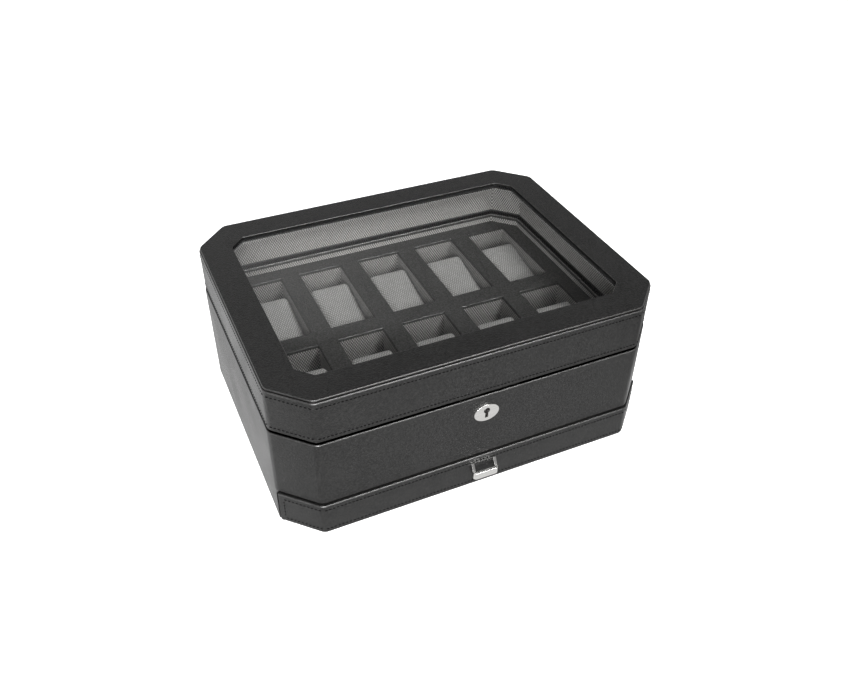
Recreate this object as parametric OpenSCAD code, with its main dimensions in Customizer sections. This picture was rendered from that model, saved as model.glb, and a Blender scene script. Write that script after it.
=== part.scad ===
// Watch box: a chamfered, leather-covered case with a glazed lid over ten cushioned wells,
// a drawer across the foot, and a key lock. The front faces -Y and the table is at z = 0.

/* [Box] */
// Width of the box over its leather
box_w = 340; // [320:1:380]
// Depth of the box over its leather, hinge knuckles left out
box_d = 265; // [252:1:290]
// Height from the table to the top of the lid
box_h = 141; // [138:0.5:160]
// Length that the chamfered corners take off each side
corner_cut = 29; // [22:1:34]
// Rounding of the upright leather edges
edge_r = 6; // [1:0.5:7]

/* [Walls] */
// Thickness of the leather cover
leather_t = 1; // [0.8:0.1:1.2]
// Thickness of the body's wall boards
board_t = 9.5; // [9:0.5:12]
// Thickness of the fabric-covered board inside the rim
rim_liner_t = 5.5; // [2.5:0.5:8]
// How far the rim's leather is turned down inside
rim_turn = 3; // [1:0.2:4]
// Thickness of the bottom board
bottom_t = 4; // [3:0.5:6]
// Thickness of the felt under the bottom board
felt_t = 0.8; // [0.5:0.1:1.5]
// Thickness of the shelf between the wells and the drawer
shelf_t = 4; // [3:0.5:6]

/* [Lid] */
// Height of the lid
lid_h = 42.5; // [40:0.5:52]
// Daylight between the rim and the closed lid
seam_gap = 0.4; // [0.3:0.1:0.8]
// How far the lid stands in from the body's faces
lid_inset = 0.6; // [0.2:0.1:1.2]
// Thickness of the lid's wall boards
lid_board_t = 10; // [8:0.5:11]
// Thickness of the fabric-covered board inside the lid
lid_liner_t = 1.4; // [1:0.2:2.4]
// Height of the leather hem inside the lid's lower edge
hem_h = 2; // [2:0.5:8]
// Thickness of that hem
hem_t = 1.4; // [1.4:0.2:3]
// Thickness of the lid's top panel over its leather
top_t = 2.4; // [2:0.2:4]
// How far the top panel stands in from the lid's faces
panel_inset = 1; // [0.2:0.1:1.2]
// Thickness of the leather on the top panel
top_leather_t = 0.8; // [0.6:0.1:1]

/* [Window] */
// Width of the leather border around the window
window_border = 28.5; // [22:0.5:34]
// Length that the window's corners take off each side
window_cut = 12.5; // [8:0.5:18]
// Rounding of the window's corners
window_r = 5; // [3:0.5:12]
// Thickness of the glass
glass_t = 2; // [1.5:0.5:3]
// How far the glass runs under the border
glass_lap = 8; // [5:0.5:10]
// Thickness of the fabric-covered frame that holds the glass
frame_t = 2; // [1.5:0.5:4]

/* [Wells] */
// Width of a well's mouth
well_w = 41.5; // [38:0.5:44]
// Length of a well's mouth
well_l = 91.5; // [85:0.5:94]
// Distance of the outer wells from the box's left and right faces
side_border = 29.8; // [24:0.1:32]
// Width of the tray between its two rows of wells
row_bar_w = 18.8; // [12:0.1:26]
// Depth of the tray below the rim
tray_drop = 9; // [5:0.5:12]
// Depth to which the tray's leather is turned down into a well
tray_turn = 3; // [2:0.5:5]
// Thickness of a well's fabric-covered card
card_t = 1.2; // [0.8:0.1:2]

/* [Cushions] */
// Space between a cushion and the card on each side
cushion_gap = 0.5; // [0.4:0.1:1]
// Space between a cushion's front end and the card
cushion_front_gap = 1.5; // [0.5:0.1:3]
// Length of the open space behind a cushion
strap_space = 21; // [16:0.5:30]
// Depth of a cushion's back end below the tray
cushion_back_drop = 2; // [1:0.5:8]
// Depth of a cushion's front end below the tray
cushion_front_drop = 14; // [3:0.5:18]
// Rounding of a cushion's ends, seen from the side
cushion_r = 5; // [2:0.5:6]

/* [Drawer] */
// Height of the drawer front's upper edge above the table
drawer_top = 32; // [29:0.5:36]
// Gap above the drawer front
drawer_gap = 1.8; // [1:0.1:3]
// Height of the drawer front's lower edge above the table
drawer_foot = 0.6; // [0.4:0.1:2]
// How far the drawer front stands out from the body
drawer_proud = 1.5; // [0.5:0.1:3]
// Thickness of the drawer front's board
drawer_board_t = 9.5; // [8:0.5:12]
// Gap between the drawer front's ends and the side walls
drawer_end_gap = 2.2; // [0.5:0.1:3]
// Thickness of the drawer's sides and back
drawer_side_t = 7; // [5:0.5:9]
// Space between the drawer's sides and the body's walls
drawer_side_gap = 1.2; // [0.8:0.1:2]
// Thickness of the drawer's bottom
drawer_bottom_t = 3; // [2.5:0.5:5]
// Space between the drawer's back and the back wall
drawer_back_gap = 24.5; // [22:0.5:40]
// Height of the drawer's sides below its front's upper edge
drawer_side_drop = 2; // [1.5:0.5:5]
// Number of compartments in the drawer
compartments = 3; // [2:1:5]
// Thickness of the drawer's dividers
divider_t = 4; // [3:0.5:6]
// How far the drawer slides out
drawer_travel = 190; // [150:1:195]
// Thickness of the runner strips
runner_t = 0.8; // [0.5:0.1:1.5]
// Thickness of the drawer's fabric lining
lining_t = 0.8; // [0.5:0.1:1.5]

/* [Pull] */
// Width of the pull
pull_w = 23; // [20:0.5:40]
// Height of the pull's strap
pull_h = 7; // [6:0.5:10]
// How far the pull's bar hangs below its legs
pull_fall = 6.5; // [0:0.5:8]
// How far the pull stands out from the drawer front
pull_out = 6.8; // [6.5:0.1:14]
// Thickness of the pull's strap
pull_t = 2.6; // [2.2:0.1:3]
// Height of the pull's legs above the table
pull_z = 22; // [17:0.2:24]
// Radius of the pull's threaded legs
leg_r = 1.05; // [0.9:0.05:1.1]

/* [Lock] */
// Height of the key's axis below the rim
key_drop = 16.6; // [16:0.2:22]
// Radius of the keyhole's head
key_r = 2.8; // [2.4:0.1:3.2]
// Width of the keyhole's slot
key_slot_w = 2.4; // [1.8:0.1:2.8]
// Length of the keyhole's slot below the key's axis
key_slot_l = 7.4; // [5:0.1:8]
// Width of the oval plate around the keyhole
plate_w = 23; // [20:0.5:28]
// Height of the oval plate
plate_h = 17.4; // [16:0.2:20]
// Thickness of the oval plate
plate_t = 1.2; // [0.8:0.1:2]
// Distance of the plate's middle below the key's axis
plate_drop = 2.4; // [1:0.1:3]
// Radius at which the cam drives the bolt
cam_arm = 5; // [4:0.1:5.5]
// Radius of the cam's driving pin
cam_pin_r = 1; // [0.8:0.1:1.2]
// Thickness of the bolt
bolt_t = 2; // [1.5:0.1:2.2]

/* [Hinges] */
// Distance of each hinge from the middle of the box
hinge_x = 95; // [60:1:110]
// Width of a hinge
hinge_w = 40; // [30:1:50]
// Radius of the knuckles
knuckle_r = 2.4; // [2:0.1:3]
// Radius of the hinge pin
pin_r = 1; // [0.8:0.05:1.2]
// Radial clearance of the turning knuckle on its pin
pin_fit = 0.05; // [0.03:0.01:0.08]
// Thickness of the hinge leaves and the lock's plates
leaf_t = 1.2; // [1:0.1:1.5]
// Radius of the screws' shanks
screw_r = 1.1; // [0.9:0.1:1.3]
// Length of the screws
screw_l = 9; // [6:0.5:12]

/* [Hidden] */
$fn = 48;

BOARD = "#8a7459";
LEATHER = "#2e2d2d";
FABRIC = "#8d8b88";
NICKEL = "#c9c7c3";
STEEL = "#9a9a98";
FELT = "#232323";
GLASS = [0.85, 0.9, 0.9, 0.3];

half_w = box_w / 2;
half_d = box_d / 2;
seam_z = box_h - lid_h;
lid_z = seam_z + seam_gap;
eps = 0.01;
fit_gap = 0.2;
play = 0.4;
far = box_w;

// Insets from the body's outer faces
board_in = leather_t;
board_back = board_in + board_t;
rim_in = board_back + rim_liner_t;
rim_edge = rim_in + 0.5 * leather_t;
lid_board_in = lid_inset + leather_t;
lid_board_back = lid_board_in + lid_board_t;
lid_liner_in = lid_board_back + lid_liner_t;
hem_in = lid_board_back + hem_t;

// Heights
turn_t = 0.8 * leather_t;
bottom_z = felt_t + bottom_t;
front_z = drawer_top + drawer_gap;
shelf_z = front_z + shelf_t;
tray_z = seam_z - tray_drop;
tray_low = tray_z - tray_turn;
core_top = tray_z - leather_t;
well_floor = shelf_z + card_t;
lid_board_z = lid_z + turn_t;
hem_top = lid_board_z + hem_h;
top_z = box_h - top_t;
panel_in = lid_inset + panel_inset;
glass_z = top_z - glass_t;
frame_z = glass_z - frame_t;

// Wells, in two rows
well_count = 5;
wells_x = half_w - side_border + card_t;
wells_y = row_bar_w / 2 + well_l + card_t;
pitch_x = 2 * (half_w - side_border - well_w / 2) / (well_count - 1);
bar_w = pitch_x - well_w;
well_y = (row_bar_w + well_l) / 2;
row_half = row_bar_w / 2 - card_t;
cushion_w = well_w - 2 * cushion_gap;
cushion_low = well_floor + fit_gap;
rail_gap = 0.1;

// Drawer
front_out = -drawer_proud;
front_core = front_out + leather_t;
front_in = front_core + drawer_board_t;
front_room = front_in + drawer_end_gap;
drawer_x = half_w - board_back - drawer_side_gap;
drawer_y = half_d - board_back - drawer_back_gap;
drawer_z = bottom_z + runner_t + fit_gap;
drawer_floor = drawer_z + drawer_bottom_t;
drawer_side_top = drawer_top - drawer_side_drop;
drawer_back_top = front_z - 1;
drawer_inner_x = drawer_x - drawer_side_t;
lining_z = drawer_floor + lining_t;
divider_drop = 2.5;
runner_in = 12;
runner_w = 12;
drawer_inner_y = drawer_y - drawer_side_t;
stop_y = drawer_inner_y - drawer_travel - 1;
stop_w = 7;
stop_half = 40;
stop_gap = 0.7;
stop_low = drawer_side_top + stop_gap;
front_face = half_d + drawer_proud;
leg_x = (pull_w - pull_t) / 2;
nut_r = 2.6 * leg_r;
nut_t = 2.2;
pull_r = 2;

// Lock
key_z = seam_z - key_drop;
case_cover = 2;
lock_y = -half_d + leather_t + case_cover;
lock_back = -half_d + board_back;
lock_mid = (lock_y + lock_back) / 2;
case_wall = 0.9;
case_w = 43;
case_drop = 10.8;
case_low = key_z - case_drop;
plate_gap = 0.1;
plate_top = seam_z - plate_gap;
plate_low = plate_top - leaf_t;
case_in_front = lock_y + case_wall;
cam_y = case_in_front + plate_gap;
cam_t = 1.6;
cam_r = cam_arm + cam_pin_r + fit_gap;
bolt_y = cam_y + cam_t + fit_gap;
bolt_mid = bolt_y + bolt_t / 2;
post_r = 1;
cam_rim = 1.2;
cam_web = 0.8;
bolt_throw = 2 * cam_arm * sin(45);
notch_w = 2 * (cam_pin_r + play);
bolt_base_low = key_z + cam_arm * cos(45) - cam_pin_r - play;
finger_gap = 0.5;
bolt_base_drop = 8.2;
bolt_base_top = seam_z - bolt_base_drop;
finger_drop = 3.2;
finger_h = 2.6;
finger_top = seam_z - finger_drop;
finger_low = finger_top - finger_h;
tongue_x = 8;
tongue_t = 1.6;
tongue_w = bolt_t + 2 * play + 1.8;
tongue_low = finger_low - play - 1.2;
strike_w = 32;
strike_screw_x = 12.8;
face_w = 60;
face_screw_x = 26;
strike_low = lid_z + plate_gap;

// Hinges
leaf_top = plate_top;
leaf_low = plate_low;
lid_leaf_low = lid_z + plate_gap;
lid_leaf_top = lid_leaf_low + leaf_t;
axis_z = (seam_z + lid_z) / 2;
axis_y = half_d + knuckle_r + plate_gap;
leaf_front = half_d - board_back + fit_gap;
leaf_back = half_d - fit_gap;
knuckle_gap = 0.25;
mid_knuckle = hinge_w / 3;
hinge_screw_y = half_d - leather_t - board_t / 2 - finger_gap;
hinge_screw_x = hinge_w / 3;
pin_head = 0.8;

// ---- Outlines ----

// Octagon with half sizes w and d, its corners cut by c, from the front edge's left end
function octagon(w, d, c) = [[c - w, -d], [w - c, -d], [w, c - d], [w, d - c],
    [w - c, d], [c - w, d], [-w, d - c], [-w, c - d]];

// The box's own outline, moved in from its faces by t
function outline(t) = octagon(half_w - t, half_d - t, corner_cut - (2 - sqrt(2)) * t);

// The window's outline, moved out by t
function window_outline(t) = octagon(half_w - window_border + t, half_d - window_border + t,
    window_cut + (2 - sqrt(2)) * t);

// An outline with every corner rounded to radius r
function unit(v) = v / norm(v);
function corner_arc(a, p, b, r, n) = let(u = unit(a - p), v = unit(b - p),
    half = acos(u * v) / 2, c = p + unit(u + v) * r / sin(half),
    s = p + u * r / tan(half) - c, e = p + v * r / tan(half) - c,
    a0 = atan2(s[1], s[0]), turn = atan2(s[0] * e[1] - s[1] * e[0], s * e))
    [for (k = [0 : n]) c + r * [cos(a0 + turn * k / n), sin(a0 + turn * k / n)]];
function rounded(pts, r, n = 3) = let(m = len(pts)) [for (i = [0 : m - 1])
    each corner_arc(pts[(i + m - 1) % m], pts[i], pts[(i + 1) % m], r, n)];

module slab(pts, low, high) {
    translate([0, 0, low]) linear_extrude(high - low) polygon(pts);
}

// A closed band between two insets from the box's faces
module band(t_out, t_in, low, high) {
    difference() {
        slab(outline(t_out), low, high);
        slab(outline(t_in), low - 1, high + 1);
    }
}

// The same with its outer upright edges rounded
module soft_band(t_out, t_in, low, high) {
    difference() {
        slab(rounded(outline(t_out), edge_r), low, high);
        slab(outline(t_in), low - 1, high + 1);
    }
}

// One mitred board of the wall, on side k of the octagon counted from the front
module wall_board(k, t_out, t_in, low, high) {
    a = outline(t_out);
    b = outline(t_in);
    n = (k + 1) % 8;
    slab([a[k], a[n], b[n], b[k]], low, high);
}

// Everything in front of the mitres at the drawer front's ends, moved forward by g
module front_zone(low, high, g) {
    edge_y = corner_cut - half_d - g;
    slope = tan(22.5);
    outer_y = edge_y - slope * (far - half_w);
    run = 2 * corner_cut;
    inner_x = half_w - run;
    inner_y = edge_y + slope * run;
    slab([[-far, -far], [far, -far], [far, outer_y], [inner_x, inner_y], [-inner_x, inner_y],
        [-far, outer_y]], low, high);
}

// The floor plan behind the drawer front
module floor_plan(t_side, low, high) {
    s = outline(t_side);
    f = outline(front_room);
    slab([f[0], f[1], f[2], s[2], s[3], s[4], s[5], s[6], s[7], f[7]], low, high);
}

module box_at(low, high) {
    translate(low) cube(high - low);
}

module pair_x() {
    children();
    mirror([1, 0, 0]) children();
}

// Countersunk screw standing on z = 0 with its head up
module screw(r, l) {
    translate([0, 0, -l]) cylinder(r = r, h = l - r);
    translate([0, 0, -r]) cylinder(r1 = r, r2 = 2 * r, h = r);
}

// ---- Places that several pieces share ----

module hinge_screws_at() {
    for (s = [-1, 1], k = [-1, 1])
        translate([s * hinge_x + k * hinge_screw_x, hinge_screw_y, 0]) children();
}

module body_hinge_screw_shapes() {
    hinge_screws_at() translate([0, 0, leaf_top]) screw(screw_r, screw_l);
}

module lid_hinge_screw_shapes() {
    hinge_screws_at() translate([0, 0, lid_leaf_low]) mirror([0, 0, 1]) screw(screw_r, screw_l);
}

module faceplate_screw_shapes() {
    for (s = [-1, 1]) translate([s * face_screw_x, lock_mid, plate_top]) screw(screw_r, screw_l);
}

module striker_screw_shapes() {
    for (s = [-1, 1]) translate([s * strike_screw_x, lock_mid, strike_low])
        mirror([0, 0, 1]) screw(screw_r, screw_l);
}

// Pockets for the body's hinge leaves
module body_leaf_pockets() {
    for (s = [-1, 1]) translate([s * hinge_x, 0, 0])
        box_at([-hinge_w / 2 - fit_gap, leaf_front - plate_gap, leaf_low],
            [hinge_w / 2 + fit_gap, far, seam_z + 1]);
}

module lid_leaf_pockets() {
    for (s = [-1, 1]) translate([s * hinge_x, 0, 0])
        box_at([-hinge_w / 2 - fit_gap, leaf_front - plate_gap, lid_z - 1],
            [hinge_w / 2 + fit_gap, far, lid_leaf_top]);
}

module faceplate_block(top) {
    box_at([-face_w / 2, lock_y - finger_gap, plate_low], [face_w / 2, lock_back, top]);
}

module striker_pocket() {
    box_at([-strike_w / 2 - fit_gap, lock_y - finger_gap - fit_gap, lid_z - 1],
        [strike_w / 2 + fit_gap, lock_back + fit_gap, strike_low + leaf_t]);
}

module case_block() {
    box_at([-case_w / 2, lock_y, case_low], [case_w / 2, lock_back, plate_low]);
}

// The keyhole, cut along Y between two planes
module keyhole(y0, y1) {
    translate([0, y1, key_z]) rotate([90, 0, 0]) cylinder(r = key_r, h = y1 - y0);
    box_at([-key_slot_w / 2, y0, key_z - key_slot_l], [key_slot_w / 2, y1, key_z]);
}

module tongue_slots(low, high) {
    for (s = [-1, 1]) translate([s * tongue_x, 0, 0])
        box_at([-tongue_t / 2 - play, bolt_mid - tongue_w / 2 - play, low],
            [tongue_t / 2 + play, bolt_mid + tongue_w / 2 + play, high]);
}

// ---- Body ----

module bottom_felt() {
    color(FELT) floor_plan(2 * leather_t, 0, felt_t);
}

module bottom_board() {
    color(BOARD) floor_plan(board_in, felt_t, bottom_z);
}

module side_walls() {
    color(BOARD) for (k = [2, 6]) wall_board(k, board_in, board_back, bottom_z, seam_z - turn_t);
}

module back_wall() {
    color(BOARD) difference() {
        wall_board(4, board_in, board_back, bottom_z, seam_z - turn_t);
        body_leaf_pockets();
        body_hinge_screw_shapes();
    }
}

module front_panel() {
    color(BOARD) difference() {
        wall_board(0, board_in, board_back, front_z + turn_t, seam_z - turn_t);
        case_block();
        faceplate_block(far);
        faceplate_screw_shapes();
        keyhole(-far, lock_y + 1);
    }
}

module corner_posts() {
    color(BOARD) {
        for (k = [1, 7]) wall_board(k, board_in, board_back, front_z + turn_t, seam_z - turn_t);
        for (k = [3, 5]) wall_board(k, board_in, board_back, bottom_z, seam_z - turn_t);
    }
}

module shelf_board() {
    color(BOARD) slab(outline(board_back), front_z, shelf_z);
}

module body_leather() {
    color(LEATHER) difference() {
        union() {
            difference() {
                soft_band(0, board_in, felt_t, seam_z);
                front_zone(-1, front_z, 0);
            }
            band(board_in, rim_edge, seam_z - turn_t, seam_z);
            band(rim_in, rim_edge, seam_z - rim_turn, seam_z - turn_t);
            for (k = [7, 0, 1]) wall_board(k, board_in, board_back, front_z, front_z + turn_t);
        }
        body_leaf_pockets();
        faceplate_block(far);
        keyhole(-far, lock_y + 1);
    }
}

module rim_liner() {
    color(FABRIC) band(board_back, rim_in, tray_z, seam_z - turn_t);
}

// ---- Tray of wells ----

module at_wells() {
    for (row = [-1, 1], i = [0 : well_count - 1])
        translate([(i - (well_count - 1) / 2) * pitch_x, row * well_y, 0]) children();
}

// The space around the wells, out to the walls, in four rails
module rail_shapes() {
    end_x = wells_x - rail_gap;
    intersection() {
        slab(outline(board_back), shelf_z, core_top);
        union() {
            pair_x() box_at([wells_x, -half_d, shelf_z], [half_w, half_d, core_top]);
            for (m = [0, 1]) mirror([0, m, 0])
                box_at([-end_x, wells_y, shelf_z], [end_x, half_d, core_top]);
        }
    }
}

module row_divider_shape() {
    box_at([-wells_x, -row_half, shelf_z], [wells_x, row_half, core_top]);
}

module cross_divider_shapes() {
    half = bar_w / 2 - card_t;
    for (m = [0, 1], i = [0 : well_count - 2]) mirror([0, m, 0])
        translate([(i - (well_count - 2) / 2) * pitch_x, 0, 0])
            box_at([-half, row_half, shelf_z], [half, wells_y, core_top]);
}

module tray_rails() {
    color(BOARD) rail_shapes();
}

module row_divider() {
    color(BOARD) row_divider_shape();
}

module cross_dividers() {
    color(BOARD) cross_divider_shapes();
}

// Sheet over the rails and dividers, turned down into every well
module tray_leather() {
    color(LEATHER) difference() {
        slab(outline(board_back), tray_low, tray_z);
        at_wells() box_at([-well_w / 2, -well_l / 2, tray_low - 1], [well_w / 2, well_l / 2, tray_z + 1]);
        rail_shapes();
        row_divider_shape();
        cross_divider_shapes();
    }
}

module well_liners() {
    color(FABRIC) at_wells() difference() {
        box_at([-well_w / 2 - card_t, -well_l / 2 - card_t, shelf_z],
            [well_w / 2 + card_t, well_l / 2 + card_t, tray_low]);
        box_at([-well_w / 2, -well_l / 2, well_floor], [well_w / 2, well_l / 2, tray_low + 1]);
    }
}

// ---- Cushions ----

// One cushion in column i of the front (-1) or back (1) row, its top sloping down to the front
module cushion(i, row) {
    y0 = -well_l / 2 + cushion_front_gap;
    y1 = well_l / 2 - strap_space;
    z0 = cushion_low;
    side = [[y0, z0], [y1, z0], [y1, tray_z - cushion_back_drop], [y0, tray_z - cushion_front_drop]];
    color(FABRIC) translate([(i - (well_count + 1) / 2) * pitch_x - cushion_w / 2, row * well_y, 0])
        rotate([90, 0, 90]) linear_extrude(cushion_w) polygon(rounded(side, cushion_r));
}

module cushion_back_1() { cushion(1, 1); }
module cushion_back_2() { cushion(2, 1); }
module cushion_back_3() { cushion(3, 1); }
module cushion_back_4() { cushion(4, 1); }
module cushion_back_5() { cushion(5, 1); }
module cushion_front_1() { cushion(1, -1); }
module cushion_front_2() { cushion(2, -1); }
module cushion_front_3() { cushion(3, -1); }
module cushion_front_4() { cushion(4, -1); }
module cushion_front_5() { cushion(5, -1); }

// ---- Lid ----

module lid_wall(k) {
    wall_board(k, lid_board_in, lid_board_back, lid_board_z, top_z);
}

module lid_side_walls() {
    color(BOARD) for (k = [2, 6]) lid_wall(k);
}

module lid_front_wall() {
    color(BOARD) difference() {
        lid_wall(0);
        striker_pocket();
        striker_screw_shapes();
    }
}

module lid_back_wall() {
    color(BOARD) difference() {
        lid_wall(4);
        lid_leaf_pockets();
        lid_hinge_screw_shapes();
    }
}

module lid_corner_posts() {
    color(BOARD) for (k = [1, 3, 5, 7]) lid_wall(k);
}

module lid_leather() {
    color(LEATHER) difference() {
        union() {
            soft_band(lid_inset, lid_board_in, lid_z, top_z);
            band(lid_board_in, hem_in, lid_z, lid_board_z);
        }
        lid_leaf_pockets();
        lid_hinge_screw_shapes();
        striker_pocket();
        striker_screw_shapes();
    }
}

module lid_hem() {
    color(LEATHER) band(lid_board_back, hem_in, lid_board_z, hem_top);
}

module lid_liner() {
    color(FABRIC) band(lid_board_back, lid_liner_in, hem_top, frame_z);
}

module top_core() {
    difference() {
        slab(outline(panel_in + top_leather_t), top_z, box_h - top_leather_t);
        slab(rounded(window_outline(top_leather_t), window_r, 6), top_z - 1, box_h);
    }
}

module top_board() {
    color(BOARD) top_core();
}

module top_leather() {
    color(LEATHER) difference() {
        slab(rounded(outline(panel_in), edge_r), top_z, box_h);
        slab(rounded(window_outline(0), window_r, 6), top_z - 1, box_h + 1);
        top_core();
    }
}

module glass_pane() {
    color(GLASS) slab(window_outline(glass_lap), glass_z, top_z);
}

module glass_frame() {
    color(FABRIC) difference() {
        slab(outline(lid_board_back), frame_z, top_z);
        slab(rounded(window_outline(0), window_r, 6), frame_z - 1, top_z + 1);
        slab(window_outline(glass_lap), glass_z, top_z + 1);
    }
}

// ---- Hinges ----

// A knuckle between two places along X, on the hinge's axis
module knuckle(x0, x1) {
    translate([x0, axis_y, axis_z]) rotate([0, 90, 0]) cylinder(r = knuckle_r, h = x1 - x0);
}

module pin_bore(r) {
    translate([-hinge_w, axis_y, axis_z]) rotate([0, 90, 0]) cylinder(r = r, h = 2 * hinge_w);
}

module hinge_body_leaves() {
    mid = mid_knuckle / 2 + knuckle_gap;
    color(NICKEL) difference() {
        for (s = [-1, 1]) translate([s * hinge_x, 0, 0]) difference() {
            union() {
                box_at([-hinge_w / 2, leaf_front, leaf_low], [hinge_w / 2, leaf_back, leaf_top]);
                pair_x() box_at([mid, leaf_front, leaf_low], [hinge_w / 2, axis_y, leaf_top]);
                pair_x() knuckle(mid, hinge_w / 2);
            }
            pin_bore(pin_r);
        }
        body_hinge_screw_shapes();
    }
}

module hinge_lid_leaves() {
    mid = mid_knuckle / 2;
    color(NICKEL) difference() {
        for (s = [-1, 1]) translate([s * hinge_x, 0, 0]) difference() {
            union() {
                box_at([-hinge_w / 2, leaf_front, lid_leaf_low],
                    [hinge_w / 2, leaf_back - lid_inset, lid_leaf_top]);
                box_at([-mid, leaf_front, lid_leaf_low], [mid, axis_y, lid_leaf_top]);
                knuckle(-mid, mid);
            }
            pin_bore(pin_r + pin_fit);
        }
        lid_hinge_screw_shapes();
    }
}

module hinge_pins() {
    color(NICKEL) for (s = [-1, 1]) translate([s * hinge_x, axis_y, axis_z]) rotate([0, 90, 0]) {
        translate([0, 0, -hinge_w / 2]) cylinder(r = pin_r, h = hinge_w);
        for (m = [0, 1]) mirror([0, 0, m]) translate([0, 0, hinge_w / 2])
            cylinder(r = pin_r + pin_head, h = pin_head);
    }
}

module hinge_body_screws() {
    color(NICKEL) body_hinge_screw_shapes();
}

module hinge_lid_screws() {
    color(NICKEL) lid_hinge_screw_shapes();
}

// ---- Lock ----

module lock_case() {
    color(STEEL) {
        difference() {
            case_block();
            box_at([case_wall - case_w / 2, case_in_front, case_low + case_wall],
                [case_w / 2 - case_wall, lock_back - case_wall, plate_low - case_wall]);
            tongue_slots(plate_low - 2 * case_wall, plate_low + 1);
            keyhole(-far, case_in_front + eps);
        }
        translate([0, lock_back - case_wall / 2, key_z]) rotate([90, 0, 0])
            cylinder(r = post_r, h = lock_back - case_wall / 2 - lock_y);
    }
}

module lock_faceplate() {
    color(NICKEL) difference() {
        faceplate_block(plate_top);
        tongue_slots(plate_low - 1, plate_top + 1);
        faceplate_screw_shapes();
    }
}

module lock_screws() {
    color(NICKEL) faceplate_screw_shapes();
}

// Oval plate with the keyhole
module escutcheon() {
    steps = 40;
    color(NICKEL) difference() {
        translate([0, -half_d, key_z - plate_drop]) rotate([90, 0, 0]) linear_extrude(plate_t)
            polygon([for (k = [0 : steps - 1]) [plate_w / 2 * cos(360 * k / steps),
                plate_h / 2 * sin(360 * k / steps)]]);
        keyhole(-far, far);
    }
}

// Disc that the key turns on the case's post, with the pin that drives the bolt
module lock_cam() {
    color(STEEL) difference() {
        union() {
            translate([0, cam_y + cam_t, key_z]) rotate([90, 0, 0]) cylinder(r = cam_r, h = cam_t);
            translate([-cam_arm * sin(45), bolt_y + bolt_t, key_z + cam_arm * cos(45)])
                rotate([90, 0, 0]) cylinder(r = cam_pin_r, h = bolt_y + bolt_t - cam_y);
        }
        translate([0, cam_y + cam_t + 1, key_z]) rotate([90, 0, 0])
            cylinder(r = post_r + pin_fit, h = cam_t + 2);
        box_at([play - key_slot_w / 2, cam_y - 1, key_z - cam_r + cam_rim],
            [key_slot_w / 2 - play, cam_y + cam_t + 1, key_z - post_r - cam_web]);
    }
}

// Sliding bolt: a base with a notch for the cam's pin, and a finger for each tongue
module lock_bolt() {
    finger_room = bolt_throw + tongue_t / 2 + finger_gap;
    post_w = 4;
    base_left = -tongue_x - finger_room - post_w;
    color(STEEL) difference() {
        union() {
            box_at([base_left, bolt_y, bolt_base_low], [tongue_x - 2, bolt_y + bolt_t, bolt_base_top]);
            for (s = [-1, 1]) translate([s * tongue_x, 0, 0]) {
                box_at([-finger_room - post_w, bolt_y, bolt_base_top - 1],
                    [-finger_room, bolt_y + bolt_t, finger_top]);
                box_at([-finger_room - 1, bolt_y, finger_low],
                    [-tongue_t / 2 - finger_gap, bolt_y + bolt_t, finger_top]);
            }
        }
        translate([-cam_arm * sin(45), 0, 0]) box_at([-notch_w / 2, bolt_y - 1, bolt_base_low - 1],
            [notch_w / 2, bolt_y + bolt_t + 1, key_z + cam_arm + cam_pin_r + play]);
    }
}

module striker() {
    color(NICKEL) difference() {
        union() {
            box_at([-strike_w / 2, lock_y - finger_gap, strike_low],
                [strike_w / 2, lock_back, strike_low + leaf_t]);
            for (s = [-1, 1]) translate([s * tongue_x, bolt_mid, 0])
                box_at([-tongue_t / 2, -tongue_w / 2, tongue_low],
                    [tongue_t / 2, tongue_w / 2, strike_low + eps]);
        }
        for (s = [-1, 1]) translate([s * tongue_x, bolt_mid, 0])
            box_at([-tongue_t, -bolt_t / 2 - play, finger_low - play],
                [tongue_t, bolt_t / 2 + play, finger_top + play]);
        striker_screw_shapes();
    }
}

module striker_screws() {
    color(NICKEL) striker_screw_shapes();
}

// ---- Drawer ----

module leg_holes(r) {
    pair_x() translate([leg_x, half_d, pull_z]) rotate([90, 0, 0]) cylinder(r = r, h = 4 * half_d);
}

// The drawer front's body, wrapped round the front and both front corners
module front_core_shape() {
    intersection() {
        for (k = [7, 0, 1])
            wall_board(k, front_core, front_in, drawer_foot + leather_t, drawer_top - leather_t);
        front_zone(0, front_z, drawer_end_gap + leather_t);
    }
}

module drawer_front_board() {
    color(BOARD) difference() {
        front_core_shape();
        leg_holes(leg_r);
    }
}

module drawer_front_leather() {
    color(LEATHER) difference() {
        intersection() {
            difference() {
                slab(rounded(outline(front_out), edge_r), drawer_foot, drawer_top);
                slab(outline(front_in), drawer_foot - 1, drawer_top + 1);
            }
            front_zone(0, front_z, drawer_end_gap);
            box_at([-half_w, -far, 0], [half_w, far, front_z]);
        }
        front_core_shape();
        leg_holes(leg_r);
    }
}

// Outline of the drawer's box with its front edges at inset t, its sides at x and its back at y1
function drawer_plan(t, x, y1) = let(o = outline(t), s = o[2][0] - o[2][1])
    [o[0], o[1], [x, x - s], [x, y1], [-x, y1], [-x, x - s]];

module drawer_sides() {
    p = drawer_plan(front_in, drawer_x, drawer_y);
    q = drawer_plan(front_in, drawer_inner_x, drawer_y);
    color(BOARD) pair_x() slab([p[2], p[3], q[3], q[2]], drawer_floor, drawer_side_top);
}

module drawer_back() {
    color(BOARD) box_at([-drawer_inner_x, drawer_inner_y, drawer_floor],
        [drawer_inner_x, drawer_y, drawer_back_top]);
}

module drawer_bottom() {
    color(BOARD) slab(drawer_plan(front_in, drawer_x, drawer_y), drawer_z, drawer_floor);
}

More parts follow.
